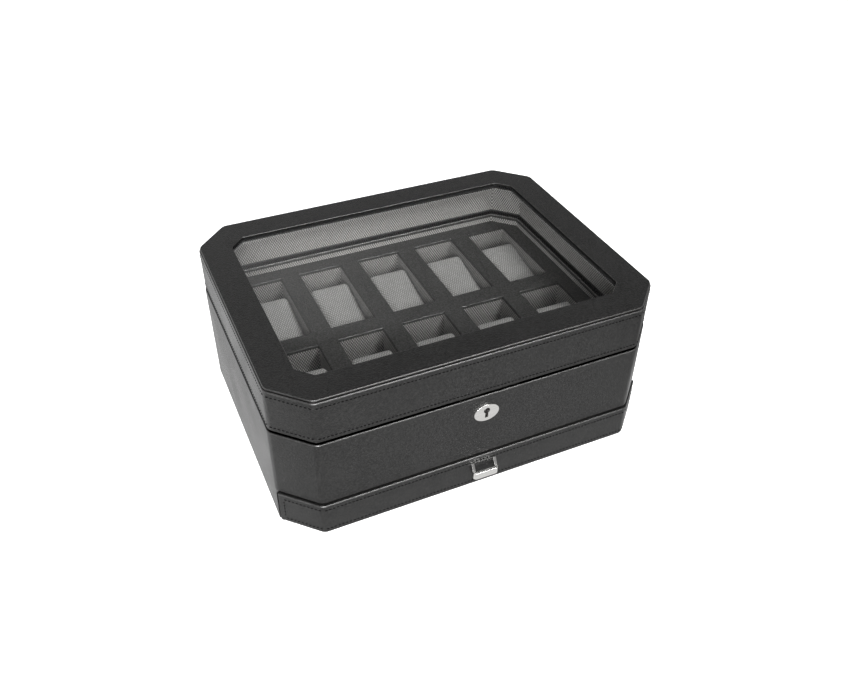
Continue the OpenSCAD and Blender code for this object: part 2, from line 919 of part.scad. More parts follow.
// Fabric on the drawer's floor and up its walls, with a hole round each nut
module drawer_lining() {
    color(FABRIC) difference() {
        slab(drawer_plan(front_in, drawer_inner_x, drawer_inner_y), drawer_floor, drawer_side_top);
        slab(drawer_plan(front_in + lining_t, drawer_inner_x - lining_t, drawer_inner_y - lining_t),
            lining_z, drawer_side_top + 1);
        pair_x() translate([leg_x, front_in - half_d + nut_t, pull_z]) rotate([90, 0, 0])
            cylinder(r = nut_r + fit_gap, h = nut_t + 1);
    }
}

module drawer_dividers() {
    step = (2 * drawer_inner_x + divider_t) / compartments;
    color(FABRIC) for (i = [0 : compartments - 2])
        translate([(i - (compartments - 2) / 2) * step, 0, 0])
            box_at([-divider_t / 2, front_in + lining_t - half_d, lining_z],
                [divider_t / 2, drawer_inner_y - lining_t, drawer_side_top - divider_drop]);
}

// Strips under the drawer that it slides on
module drawer_runners() {
    color(STEEL) pair_x() box_at([drawer_x - runner_in - runner_w, -drawer_y + runner_in, bottom_z],
        [drawer_x - runner_in, drawer_y - runner_in, bottom_z + runner_t]);
}

// Block under the shelf that the drawer's back meets at the end of its travel
module drawer_stop() {
    color(BOARD) box_at([-stop_half, stop_y - stop_w, stop_low], [stop_half, stop_y, front_z]);
}

// Strap bent to a U that slopes down to its bar, with a threaded leg at each end
module drawer_pull() {
    w = pull_w / 2;
    y0 = -front_face - pull_out;
    y1 = y0 + pull_t;
    top = pull_z + pull_h / 2;
    low = pull_z - pull_h / 2;
    plan = [[-w, -front_face], each corner_arc([-w, 0], [-w, y0], [w, y0], pull_r, 4),
        each corner_arc([-w, y0], [w, y0], [w, 0], pull_r, 4), [w, -front_face]];
    side = [[-front_face, top], [y1, top - pull_fall], [y0, top - pull_fall],
        [y0, low - pull_fall], [y1, low - pull_fall], [-front_face, low]];
    color(NICKEL) {
        intersection() {
            difference() {
                slab(plan, low - pull_fall, top);
                box_at([pull_t - w, y1, 0], [w - pull_t, 0, far]);
            }
            translate([-pull_w, 0, 0]) rotate([90, 0, 90]) linear_extrude(2 * pull_w) polygon(side);
        }
        pair_x() translate([leg_x, front_in - half_d + nut_t + 1, pull_z]) rotate([90, 0, 0])
            cylinder(r = leg_r, h = front_in + drawer_proud + nut_t + 2);
    }
}

module pull_nuts() {
    color(NICKEL) pair_x() translate([leg_x, front_in - half_d + nut_t, pull_z]) rotate([90, 0, 0])
        difference() {
            cylinder(r = nut_r, h = nut_t, $fn = 6);
            translate([0, 0, -1]) cylinder(r = leg_r, h = nut_t + 2);
        }
}

bottom_felt();
bottom_board();
side_walls();
back_wall();
front_panel();
corner_posts();
shelf_board();
body_leather();
rim_liner();
tray_leather();
tray_rails();
row_divider();
cross_dividers();
well_liners();
drawer_runners();
drawer_stop();
lock_case();
lock_faceplate();
lock_screws();
escutcheon();
hinge_body_leaves();
hinge_body_screws();
hinge_pins();
lid_side_walls();
lid_front_wall();
lid_back_wall();
lid_corner_posts();
lid_leather();
lid_hem();
lid_liner();
top_board();
top_leather();
glass_pane();
glass_frame();
hinge_lid_leaves();
hinge_lid_screws();
striker();
striker_screws();
lock_cam();
lock_bolt();
drawer_front_board();
drawer_front_leather();
drawer_sides();
drawer_back();
drawer_bottom();
drawer_lining();
drawer_dividers();
drawer_pull();
pull_nuts();
cushion_back_1();
cushion_back_2();
cushion_back_3();
cushion_back_4();
cushion_back_5();
cushion_front_1();
cushion_front_2();
cushion_front_3();
cushion_front_4();
cushion_front_5();
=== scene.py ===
"""Watch box: detailed covers, stitching, cushions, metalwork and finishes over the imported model."""

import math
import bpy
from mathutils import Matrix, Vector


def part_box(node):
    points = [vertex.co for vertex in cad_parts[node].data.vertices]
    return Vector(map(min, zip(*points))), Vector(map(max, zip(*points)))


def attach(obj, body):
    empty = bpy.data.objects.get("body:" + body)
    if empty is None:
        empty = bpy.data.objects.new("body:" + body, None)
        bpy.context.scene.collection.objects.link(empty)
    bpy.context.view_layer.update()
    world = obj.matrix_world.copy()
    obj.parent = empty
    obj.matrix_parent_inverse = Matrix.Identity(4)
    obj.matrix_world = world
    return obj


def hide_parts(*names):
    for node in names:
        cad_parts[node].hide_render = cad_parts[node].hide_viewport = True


bl_info = {
    "name": "Watch Box",
    "version": (1, 0, 0),
    "blender": (4, 5, 0),
    "location": "View3D > Sidebar > Watch Box",
    "description": "Builds a leather-covered watch box with a glazed lid, cushions and a drawer",
    "category": "Object",
}

import bmesh
import bpy
from bpy.props import FloatProperty, FloatVectorProperty, PointerProperty
from bpy.types import Operator, Panel, PropertyGroup
from mathutils import Matrix, Vector

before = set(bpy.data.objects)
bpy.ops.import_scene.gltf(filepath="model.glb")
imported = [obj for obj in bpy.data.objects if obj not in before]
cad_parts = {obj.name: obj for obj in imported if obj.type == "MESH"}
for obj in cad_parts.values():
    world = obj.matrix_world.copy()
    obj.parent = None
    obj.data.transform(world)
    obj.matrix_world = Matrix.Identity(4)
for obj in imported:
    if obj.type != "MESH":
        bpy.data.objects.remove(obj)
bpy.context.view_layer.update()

MM = 0.001
BODY_LOW, BODY_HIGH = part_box("body_leather")
LID_LOW, LID_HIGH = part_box("lid_leather")
TOP_LOW, TOP_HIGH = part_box("top_leather")
TRAY_LOW, TRAY_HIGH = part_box("tray_leather")
FRONT_LOW, FRONT_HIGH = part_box("drawer_front_leather")
HALF_W = BODY_HIGH.x
HALF_D = BODY_HIGH.y
CORNER_CUT = 29 * MM
MITRE_SLOPE = math.tan(math.pi / 8)
CUT_SUM = HALF_W + HALF_D - CORNER_CUT
DRAWER_TOP_GAP = 1.8 * MM
SKIN = 0.9 * MM
TRAY_INSET = 10.5 * MM
LID_INSET = HALF_W - LID_HIGH.x
PANEL_INSET = HALF_W - TOP_HIGH.x
PLATE_LOW, PLATE_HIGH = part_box("escutcheon")
KEY = Vector((0, -HALF_D, (PLATE_LOW.z + PLATE_HIGH.z) / 2 + 2.4 * MM))
CUSHIONS = ["cushion_%s_%d" % (row, i) for row in ("back", "front") for i in range(1, 6)]


# ---- Sizes and colours a user would change ----


def length(name, text, default):
    return FloatProperty(name=name, description=text, default=default * MM, min=0.0, unit="LENGTH", precision=5)


def colour(name, text, default):
    return FloatVectorProperty(name=name, description=text, default=default, min=0.0, max=1.0, size=3, subtype="COLOR")


class WatchBoxSizes(PropertyGroup):
    corner_r: length("Corner softness", "How far the upright edges are rounded back", 3.4)
    edge_r: length("Edge softness", "How far the covers' edges are rounded back", 1.0)
    rim_r: length("Rim edge", "How far the body's upper edge is rounded back", 0.9)
    panel_r: length("Panel edge", "How far the top panel's edges are rounded back", 0.75)
    window_r: length("Window corners", "How far the window's corners are rounded back", 2.1)
    mouth_r: length("Well edge", "Rounding of the tray leather at each well", 0.8)
    stitch_pitch: length("Stitch pitch", "Distance from one stitch to the next", 3.2)
    stitch_length: length("Stitch length", "Length of one stitch", 2.7)
    thread: length("Thread", "Width of the sewing thread", 1.15)
    stitch_inset: length("Stitch inset", "Distance of a row of stitches from the cover's edge", 4.8)
    weave: length("Weave", "Width of one thread of the lining's weave", 1.16)
    float_length: length("Float", "Length over which a thread of the weave stays on top", 1.89)
    grain: length("Grain", "Size of the leather's grain", 1.5)


class WatchBoxColours(PropertyGroup):
    leather: colour("Leather", "Colour of the leather covers", (0.0085, 0.0084, 0.0082))
    # The thread is darker than the leather: black thread, with painted shade of the stitch holes.
    thread: colour("Thread", "Colour of the sewing thread", (0.002, 0.002, 0.002))
    lining_light: colour("Lining, light thread", "Light thread of the lining", (0.5, 0.49, 0.475))
    lining_dark: colour("Lining, dark thread", "Dark thread of the lining", (0.15, 0.147, 0.143))
    cushion_light: colour("Cushion, light thread", "Light thread of the cushion covers", (0.42, 0.415, 0.405))
    cushion_dark: colour("Cushion, dark thread", "Dark thread of the cushion covers", (0.22, 0.217, 0.212))
    nickel: colour("Nickel", "Colour of the visible metal", (0.91, 0.9, 0.88))
    steel: colour("Lock steel", "Colour of the lock's inner parts", (0.42, 0.42, 0.41))
    board: colour("Board", "Colour of bare board", (0.33, 0.24, 0.15))
    painted: colour("Painted board", "Colour of the painted board", (0.03, 0.029, 0.028))
    felt: colour("Felt", "Colour of the felt underneath", (0.02, 0.02, 0.02))
    glass: colour("Glass", "Tint of the glass", (0.965, 0.967, 0.965))
    floor: colour("Floor", "Colour of the floor", (0.9, 0.9, 0.9))


# ---- Modelling tools ----


def deselect():
    if bpy.context.mode != "OBJECT":
        bpy.ops.object.mode_set(mode="OBJECT")
    bpy.ops.object.select_all(action="DESELECT")


def choose(*pieces):
    deselect()
    for piece in pieces:
        piece.select_set(True)
    bpy.context.view_layer.objects.active = pieces[0]


def edit(piece):
    choose(piece)
    bpy.ops.object.mode_set(mode="EDIT")


def pick(kind, test):
    """In edit mode, selects the vertices, edges or faces that test is true for."""
    bpy.ops.mesh.select_mode(type=kind)
    bpy.ops.mesh.select_all(action="DESELECT")
    data = bpy.context.edit_object.data
    mesh = bmesh.from_edit_mesh(data)
    items = {"VERT": mesh.verts, "EDGE": mesh.edges, "FACE": mesh.faces}[kind]
    count = 0
    for item in items:
        if test(item):
            item.select_set(True)
            count += 1
    if not count:
        raise RuntimeError("nothing to select on " + bpy.context.edit_object.name)
    mesh.select_flush_mode()
    bmesh.update_edit_mesh(data)


def near(a, b):
    return abs(a - b) < 0.02 * MM


def upright(edge):
    a, b = (v.co for v in edge.verts)
    return near(a.x, b.x) and near(a.y, b.y)


def level(edge, z):
    return all(near(v.co.z, z) for v in edge.verts)


def depth(co):
    """How far a point lies inside the box's eight faces."""
    return min(HALF_W - abs(co.x), HALF_D - abs(co.y), (CUT_SUM - abs(co.x) - abs(co.y)) / math.sqrt(2))


def at_depth(edge, t):
    return all(near(depth(v.co), t) for v in edge.verts)


def shallower(edge, t):
    return all(depth(v.co) < t for v in edge.verts)


def deeper(edge, t):
    return all(depth(v.co) > t for v in edge.verts)


def by_wall(edge):
    """Whether an upright face meets the edge."""
    return any(abs(f.normal.z) < 0.5 for f in edge.link_faces)


def bevel(offset, segments, affect="EDGES"):
    bpy.ops.mesh.bevel(offset=offset, segments=segments, profile=0.5, affect=affect, clamp_overlap=False)


def extrude(*move):
    bpy.ops.mesh.extrude_region_move(TRANSFORM_OT_translate={"value": move})


def weld():
    """In edit mode, joins the points that lie on one another."""
    bpy.ops.mesh.select_all(action="SELECT")
    bpy.ops.mesh.remove_doubles(threshold=0.01 * MM)


def face_outwards():
    bpy.ops.mesh.select_all(action="SELECT")
    bpy.ops.mesh.normals_make_consistent(inside=False)


def settle():
    """Moves the object's place, turn and scale into its vertices."""
    bpy.ops.object.transform_apply(location=True, rotation=True, scale=True)


def cube(name, low, high):
    deselect()
    low, high = Vector(low), Vector(high)
    bpy.ops.mesh.primitive_cube_add(size=1, location=(low + high) / 2, scale=high - low)
    settle()
    piece = bpy.context.object
    piece.name = name
    return piece


def corner_cut(t):
    """The corner's cut on an outline that is moved in by t."""
    return CORNER_CUT - (2 - math.sqrt(2)) * t


def block(name, t, low, high):
    """Eight-sided block, its faces moved in by t, left in edit mode."""
    piece = cube(name, (t - HALF_W, t - HALF_D, low), (HALF_W - t, HALF_D - t, high))
    edit(piece)
    pick("EDGE", upright)
    bevel(corner_cut(t), 1)
    return piece


def open_face(up, t):
    """Cuts a hole in the flat top or bottom face and leaves a border t wide."""
    pick("FACE", lambda f: f.normal.z * up > 0.9)
    bpy.ops.mesh.inset(thickness=t, depth=0, use_even_offset=True)
    bpy.ops.mesh.delete(type="FACE")


def hollow(t):
    """Makes a block a closed ring whose wall is t thick."""
    open_face(1, t)
    open_face(-1, t)
    pick("EDGE", lambda e: e.is_boundary)
    bpy.ops.mesh.bridge_edge_loops()


def modify(piece, kind, **settings):
    choose(piece)
    bpy.ops.object.modifier_add(type=kind)
    modifier = piece.modifiers[-1]
    for key, value in settings.items():
        setattr(modifier, key, value)
    bpy.ops.object.modifier_apply(modifier=modifier.name)


def cut(piece, tool):
    modify(piece, "BOOLEAN", operation="DIFFERENCE", object=tool, solver="EXACT")
    bpy.data.objects.remove(tool)


def cut_keyhole(piece, key, reach):
    """Cuts the keyhole, a round head over a widening slot, through a piece."""
    deselect()
    head_r, slot_half, slot_fall = 2.8 * MM, 1.2 * MM, 7.4 * MM
    bpy.ops.mesh.primitive_cylinder_add(vertices=32, radius=head_r, depth=2 * reach, location=key,
                                        rotation=(math.pi / 2, 0, 0))
    settle()
    head = bpy.context.object
    slot = cube("slot", key + Vector((-slot_half, -reach, -slot_fall)), key + Vector((slot_half, reach, 0)))
    edit(slot)
    pick("VERT", lambda v: v.co.z < key.z - 1 * MM)
    bpy.ops.transform.resize(value=(1.25, 1, 1))
    deselect()
    cut(piece, head)
    cut(piece, slot)


def dress(piece, material):
    """Leaves a piece with this material only."""
    piece.data.materials.clear()
    piece.data.materials.append(material)


def refinish(piece, material, test):
    """Gives the faces that test is true for another material."""
    piece.data.materials.append(material)
    slot = len(piece.data.materials) - 1
    for face in piece.data.polygons:
        if test(face):
            face.material_index = slot


def paint_edge_highlight(piece):
    """Gives the upward-facing rounded edges of a leather piece a shinier leather, painted lighter: a painted
    highlight.
    """
    refinish(piece, highlight_leather(), lambda face: 0.12 < face.normal.z < 0.9)


def finish(piece, material, body, slot, *replaced, angle=40):
    """Smooth shading, material and the CAD body that the piece rides on."""
    choose(piece)
    bpy.ops.object.shade_smooth_by_angle(angle=math.radians(angle))
    modify(piece, "WEIGHTED_NORMAL", keep_sharp=True)
    dress(piece, material)
    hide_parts(*replaced)
    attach(piece, body)


def paint(material, *nodes):
    """Gives CAD nodes a material."""
    for name in nodes:
        dress(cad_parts[name], material)


# ---- Materials ----


class Maker:
    """Short calls to add and link shader nodes."""

    def __init__(self, name, world=None):
        self.material = world or bpy.data.materials.new(name)
        self.material.use_nodes = True
        self.tree = self.material.node_tree
        self.tree.nodes.clear()
        self.out = self.tree.nodes.new("ShaderNodeOutputWorld" if world else "ShaderNodeOutputMaterial")

    def node(self, kind, links=None, **settings):
        node = self.tree.nodes.new("ShaderNode" + kind)
        for key, value in settings.items():
            setattr(node, key, value)
        for key, value in (links or {}).items():
            if isinstance(value, bpy.types.NodeSocket):
                self.tree.links.new(value, node.inputs[key])
            else:
                node.inputs[key].default_value = value
        return node

    def math(self, operation, *values):
        return self.node("Math", dict(enumerate(values)), operation=operation).outputs[0]

    def blend(self, factor, a, b):
        return self.node("Mix", {0: factor, 6: a, 7: b}, data_type="RGBA").outputs[2]

    def ramp(self, value, low, high, to_low=0.0, to_high=1.0):
        links = {"Value": value, "From Min": low, "From Max": high, "To Min": to_low, "To Max": to_high}
        return self.node("MapRange", links, interpolation_type="SMOOTHSTEP").outputs[0]

    def surface(self, node):
        self.tree.links.new(node.outputs[0], self.out.inputs[0])

    def shader(self, links):
        self.surface(self.node("BsdfPrincipled", links))


def rgba(values):
    return (*values, 1.0)


def scaled(values, k):
    return tuple(min(1.0, v * k) for v in values)


def once(name, make):
    return bpy.data.materials.get(name) or make(name)


def palette():
    return bpy.context.scene.watch_box_colours


def make_leather(name, tone=1.0, rough=0.37, shine=0.385, relief=0.5):
    """Smooth black leather with a fine grain, soft mottling and a satin sheen."""
    scale = 1 / bpy.context.scene.watch_box_sizes.grain
    m = Maker(name)
    # The grain is turned, so that no face cuts it along its own axes.
    whole = m.node("TexCoord").outputs["Object"]
    place = m.node("Mapping", {"Vector": whole, "Rotation": (0.5, 0.7, 0.3)}).outputs[0]
    grain = m.node("TexNoise", {"Vector": place, "Scale": scale, "Detail": 5.0, "Roughness": 0.62}).outputs[0]
    pores = m.node("TexVoronoi", {"Vector": place, "Scale": 0.75 * scale}, feature="DISTANCE_TO_EDGE").outputs[0]
    cloud = m.node("TexNoise", {"Vector": place, "Scale": 22.0, "Detail": 3.0}).outputs[0]
    creases = m.ramp(pores, 0.0, 0.12)
    height = m.math("ADD", m.math("MULTIPLY", grain, 0.7), m.math("MULTIPLY", creases, 0.35))
    base = scaled(palette().leather, tone)
    shade = m.blend(m.ramp(cloud, 0.3, 0.7), rgba(scaled(base, 0.86)), rgba(scaled(base, 1.16)))
    shade = m.blend(m.ramp(grain, 0.38, 0.5), rgba(scaled(base, 0.5)), shade)
    shade = m.blend(m.ramp(grain, 0.5, 0.62), shade, rgba(scaled(base, 1.7)))
    gloss = m.math("ADD", m.ramp(cloud, 0.3, 0.7, rough - 0.03, rough + 0.04), m.math("MULTIPLY", creases, -0.02))
    bump = m.node("Bump", {"Height": height, "Strength": relief, "Distance": 0.0005}).outputs[0]
    m.shader({"Base Color": shade, "Roughness": gloss, "Normal": bump, "Specular IOR Level": shine})
    return m.material


def weave_place(m, on_uv):
    """Two coordinates that lie in the cloth, in metres."""
    if on_uv:
        split = m.node("SeparateXYZ", {0: m.node("UVMap", uv_map="Cloth").outputs[0]})
        return split.outputs[0], split.outputs[1]
    place = m.node("SeparateXYZ", {0: m.node("TexCoord").outputs["Object"]})
    facing = m.node("SeparateXYZ", {0: m.node("NewGeometry").outputs["True Normal"]})
    x, y, z = place.outputs
    nx, ny, nz = facing.outputs
    flat = m.math("SQRT", m.math("ADD", m.math("MULTIPLY", nx, nx), m.math("MULTIPLY", ny, ny)))
    flat = m.math("MAXIMUM", flat, 0.001)
    along = m.math("DIVIDE", m.math("SUBTRACT", m.math("MULTIPLY", y, nx), m.math("MULTIPLY", x, ny)), flat)
    level_face = m.math("GREATER_THAN", m.math("ABSOLUTE", nz), 0.7)
    steep = m.math("SUBTRACT", 1.0, level_face)
    u = m.math("ADD", m.math("MULTIPLY", x, level_face), m.math("MULTIPLY", along, steep))
    v = m.math("ADD", m.math("MULTIPLY", y, level_face), m.math("MULTIPLY", z, steep))
    return u, v


def make_weave(name, light, dark, on_uv=False, painted_shade_from=None):
    """Two-tone basket weave: light warp over dark weft, with shaded gaps between the threads.

    Above the height given, the cloth is painted black: painted shade.
    """
    sizes = bpy.context.scene.watch_box_sizes
    m = Maker(name)
    u, v = weave_place(m, on_uv)
    su = m.math("SINE", m.math("MULTIPLY", u, math.pi / sizes.weave))
    sv = m.math("SINE", m.math("MULTIPLY", v, math.pi / sizes.float_length))
    warp = m.math("ABSOLUTE", su)
    weft = m.math("ABSOLUTE", sv)
    over = m.ramp(m.math("MULTIPLY", su, sv), -0.12, 0.12)
    under = m.math("SUBTRACT", 1.0, over)
    high = m.math("MULTIPLY", warp, m.math("ADD", 0.55, m.math("MULTIPLY", weft, 0.45)))
    low = m.math("MULTIPLY", weft, m.math("ADD", 0.45, m.math("MULTIPLY", warp, 0.35)))
    height = m.math("ADD", m.math("MULTIPLY", high, over), m.math("MULTIPLY", low, under))
    place = m.node("TexCoord").outputs["Object"]
    slub = m.node("TexNoise", {"Vector": place, "Scale": 260.0, "Detail": 3.0}).outputs[0]
    wide = m.node("TexNoise", {"Vector": place, "Scale": 14.0, "Detail": 2.0}).outputs[0]
    shade = m.blend(over, rgba(dark), rgba(light))
    gap = m.ramp(height, 0.05, 0.5, 0.45, 1.0)
    uneven = m.math("ADD", m.ramp(slub, 0.3, 0.7, 0.94, 1.06), m.ramp(wide, 0.3, 0.7, -0.04, 0.04))
    tone = m.math("MULTIPLY", gap, uneven)
    grey = m.node("CombineXYZ", {0: tone, 1: tone, 2: tone}).outputs[0]
    shade = m.node("Mix", {0: 1.0, 6: shade, 7: grey}, data_type="RGBA", blend_type="MULTIPLY").outputs[2]
    # Black above the given height: painted shade.
    if painted_shade_from:
        up = m.node("SeparateXYZ", {0: place}).outputs[2]
        shade = m.blend(m.math("GREATER_THAN", up, painted_shade_from), shade, (0.004, 0.004, 0.004, 1.0))
    bump = m.node("Bump", {"Height": height, "Strength": 0.6, "Distance": 0.0003}).outputs[0]
    m.shader({"Base Color": shade, "Roughness": 0.85, "Normal": bump, "Sheen Weight": 0.15, "Sheen Roughness": 0.5,
              "Specular IOR Level": 0.25})
    return m.material


def make_metal(name, base, rough):
    """Plated metal with a faint brushed grain and slight smudges."""
    m = Maker(name)
    place = m.node("TexCoord").outputs["Object"]
    stretch = m.node("Mapping", {"Vector": place, "Scale": (60.0, 1800.0, 1800.0)}).outputs[0]
    brush = m.node("TexNoise", {"Vector": stretch, "Scale": 1.0, "Detail": 3.0}).outputs[0]
    smudge = m.node("TexNoise", {"Vector": place, "Scale": 120.0, "Detail": 2.0}).outputs[0]
    gloss = m.math("ADD", m.ramp(smudge, 0.3, 0.7, rough - 0.04, rough + 0.06), m.math("MULTIPLY", brush, 0.06))
    shade = m.blend(m.ramp(brush, 0.35, 0.65), rgba(scaled(base, 0.94)), rgba(scaled(base, 1.04)))
    bump = m.node("Bump", {"Height": brush, "Strength": 0.02, "Distance": 0.00005}).outputs[0]
    m.shader({"Base Color": shade, "Metallic": 1.0, "Roughness": gloss, "Normal": bump})
    return m.material


def make_board(name, base, painted):
    """Fibreboard, bare or painted, with fine fibres."""
    m = Maker(name)
    place = m.node("TexCoord").outputs["Object"]
    fibre = m.node("TexNoise", {"Vector": place, "Scale": 900.0, "Detail": 6.0, "Roughness": 0.7}).outputs[0]
    patch = m.node("TexNoise", {"Vector": place, "Scale": 40.0, "Detail": 3.0}).outputs[0]
    spread = 0.12 if painted else 0.25
    shade = m.blend(m.ramp(fibre, 0.3, 0.7), rgba(scaled(base, 1 - spread)), rgba(scaled(base, 1 + spread)))
    shade = m.blend(m.ramp(patch, 0.35, 0.75, 0.0, 0.4), shade, rgba(scaled(base, 1.15)))
    bump = m.node("Bump", {"Height": fibre, "Strength": 0.25, "Distance": 0.0001}).outputs[0]
    m.shader({"Base Color": shade, "Roughness": 0.62 if painted else 0.9, "Normal": bump, "Specular IOR Level": 0.4})
    return m.material


def make_felt(name, base):
    """Felt with a soft uneven nap."""
    m = Maker(name)
    place = m.node("TexCoord").outputs["Object"]
    fluff = m.node("TexNoise", {"Vector": place, "Scale": 1400.0, "Detail": 6.0, "Roughness": 0.75}).outputs[0]
    shade = m.blend(m.ramp(fluff, 0.3, 0.7), rgba(scaled(base, 0.6)), rgba(scaled(base, 1.6)))
    bump = m.node("Bump", {"Height": fluff, "Strength": 0.7, "Distance": 0.0003}).outputs[0]
    m.shader({"Base Color": shade, "Roughness": 0.95, "Normal": bump, "Sheen Weight": 0.4, "Sheen Roughness": 0.4})
    return m.material


def make_thread(name, base):
    """Dull sewing thread with a twist."""
    m = Maker(name)
    place = m.node("TexCoord").outputs["Object"]
    twist = m.node("TexWave", {"Vector": place, "Scale": 900.0, "Distortion": 1.5, "Detail": 2.0}).outputs[1]
    shade = m.blend(twist, rgba(scaled(base, 0.6)), rgba(scaled(base, 2.2)))
    bump = m.node("Bump", {"Height": twist, "Strength": 0.3, "Distance": 0.00008}).outputs[0]
    m.shader({"Base Color": shade, "Roughness": 0.9, "Normal": bump, "Specular IOR Level": 0.08})
    return m.material


def make_glass(name, tint):
    """Clear pane: it lets light straight through and mirrors more at a low angle."""
    m = Maker(name)
    outside = m.math("SUBTRACT", 1.0, m.node("NewGeometry").outputs["Backfacing"])
    both_faces = m.math("MULTIPLY", m.node("Fresnel", {"IOR": 1.5}).outputs[0], 1.85)
    mirror = m.math("MINIMUM", 1.0, m.math("MULTIPLY", both_faces, outside))
    clear = m.node("BsdfTransparent", {"Color": rgba(tint)})
    gloss = m.node("BsdfGlossy", {"Color": (1, 1, 1, 1), "Roughness": 0.01})
    m.surface(m.node("MixShader", {0: mirror, 1: clear.outputs[0], 2: gloss.outputs[0]}))
    return m.material


def leather():
    return once("black_leather", make_leather)


def lightened_inner_leather():
    """Duller leather of the inside, painted paler: it is the same black leather as outside, and the lighter colour is
    painted light to match how bright it looks under the glass.
    """
    return once("tray_leather", lambda name: make_leather(name, tone=4.4, rough=0.5))


def highlight_leather():
    """Shinier leather of the rounded edges, painted lighter: the lighter colour is a painted highlight."""
    return once("painted_highlight_leather", lambda name: make_leather(name, tone=2.6, rough=0.33, shine=0.9, relief=0.08))


# Darker, duller leather for the window's inner walls: painted shade.
def shaded_window_leather():
    return once("shaded_window_leather", lambda name: make_leather(name, tone=0.4, rough=0.7, shine=0.1))


def thread():
    return once("black_thread", lambda name: make_thread(name, palette().thread))


def lining():
    return once("grey_lining", lambda name: make_weave(name, palette().lining_light, palette().lining_dark))


# The wells' lining is the lining made darker: painted shade in the deep wells.
def shaded_well_lining():
    light, dark = (scaled(tone, 0.78) for tone in (palette().lining_light, palette().lining_dark))
    return once("shaded_well_lining", lambda name: make_weave(name, light, dark))


def frame_lining():
    """Lining of the window's frame, painted black where it meets the panel: painted shade under the panel's edge."""
    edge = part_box("glass_frame")[0].z + 0.7 * MM
    return once("frame_lining", lambda name: make_weave(name, palette().lining_light, palette().lining_dark,
                                                        painted_shade_from=edge))


def cushion_cloth():
    return once("cushion_cloth", lambda name: make_weave(name, palette().cushion_light, palette().cushion_dark,
                                                         on_uv=True))


def nickel():
    return once("satin_nickel", lambda name: make_metal(name, palette().nickel, 0.16))


def shaded_nickel():
    """Darker, rougher nickel on the pull's arms and on its faces turned to the box: painted shade."""
    return once("shaded_nickel", lambda name: make_metal(name, scaled(palette().nickel, 0.3), 0.3))


def steel():
    return once("lock_steel", lambda name: make_metal(name, palette().steel, 0.35))


def painted_board():
    return once("painted_board", lambda name: make_board(name, palette().painted, True))


def bare_board():
    return once("bare_board", lambda name: make_board(name, palette().board, False))


# ---- Pieces ----


class WATCHBOX_OT_body_cover(Operator):
    """Leather round the body, turned over the rim and under the front panel"""

    bl_idname = "watchbox.body_cover"
    bl_label = "Body cover"

    def execute(self, context):
        sizes = context.scene.watch_box_sizes
        opening = FRONT_HIGH.z + DRAWER_TOP_GAP
        rim = BODY_HIGH.z - 0.8 * MM
        turn, lip = 16.5 * MM, 3 * MM
        piece = block("body_cover", 0.0, opening, rim)
        open_face(-1, TRAY_INSET)
        mitre = CORNER_CUT - HALF_D

        def behind(co):
            return co.y > mitre + MITRE_SLOPE * (HALF_W - abs(co.x)) + 0.1 * MM

        pick("FACE", lambda f: f.normal.z < -0.9 and behind(f.calc_center_median()))
        bpy.ops.mesh.delete(type="FACE")
        pick("EDGE", lambda e: e.is_boundary and level(e, opening) and at_depth(e, 0.0))
        extrude(0, 0, BODY_LOW.z - opening)
        open_face(1, turn)
        pick("EDGE", lambda e: e.is_boundary and level(e, rim))
        extrude(0, 0, -lip)
        pick("EDGE", lambda e: upright(e) and at_depth(e, 0.0) and not e.is_boundary)
        bevel(sizes.corner_r, 4)
        pick("EDGE", lambda e: level(e, rim) and shallower(e, 1 * MM))
        bevel(sizes.rim_r, 5)
        pick("EDGE", lambda e: level(e, rim) and deeper(e, 13 * MM))
        bevel(1.1 * MM, 3)
        pick("EDGE", lambda e: level(e, opening) and not e.is_boundary and len(e.link_faces) == 2
             and abs(e.link_faces[0].normal.z - e.link_faces[1].normal.z) > 0.5)
        bevel(0.8 * MM, 3)
        weld()
        modify(piece, "SOLIDIFY", thickness=SKIN, offset=-1.0, use_even_offset=True)
        cut_keyhole(piece, KEY, 3 * MM)
        finish(piece, leather(), "base", "leather", "body_leather")
        # The rim's inner ledge gets the paler inner leather: painted light.
        refinish(piece, lightened_inner_leather(), lambda face: depth(face.center) > lip and face.center.z > rim - 4 * MM)
        paint_edge_highlight(piece)
        return {"FINISHED"}


class WATCHBOX_OT_lid_cover(Operator):
    """Leather round the lid, turned under its lower edge, and the hem inside"""

    bl_idname = "watchbox.lid_cover"
    bl_label = "Lid cover"

    def execute(self, context):
        sizes = context.scene.watch_box_sizes
        lift = 0.55 * MM
        t, low, high = LID_INSET, LID_LOW.z + lift, TOP_LOW.z
        piece = block("lid_cover", t, low, high)
        open_face(1, 4 * MM)
        open_face(-1, 12.4 * MM)
        pick("EDGE", lambda e: upright(e) and at_depth(e, t))
        bevel(sizes.corner_r, 4)
        pick("EDGE", lambda e: level(e, high) and shallower(e, t + 1 * MM))
        bevel(sizes.edge_r, 4)
        pick("EDGE", lambda e: level(e, low) and shallower(e, t + 1 * MM))
        bevel(1.5 * MM, 4)
        modify(piece, "SOLIDIFY", thickness=0.78 * MM, offset=-1.0, use_even_offset=True)
        finish(piece, leather(), "lid", "leather", "lid_leather")
        paint_edge_highlight(piece)

        hem_low, hem_high = (c.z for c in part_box("lid_hem"))
        hem_t, hem_wall = 11.65 * MM, 1.3 * MM
        hem = block("lid_inner_hem", hem_t, hem_low, hem_high)
        hollow(hem_wall)
        pick("EDGE", lambda e: level(e, hem_high) and at_depth(e, hem_t + hem_wall))
        bevel(0.6 * MM, 3)
        face_outwards()
        # The hem gets the paler inner leather: painted light.
        finish(hem, lightened_inner_leather(), "lid", "leather", "lid_hem")
        return {"FINISHED"}


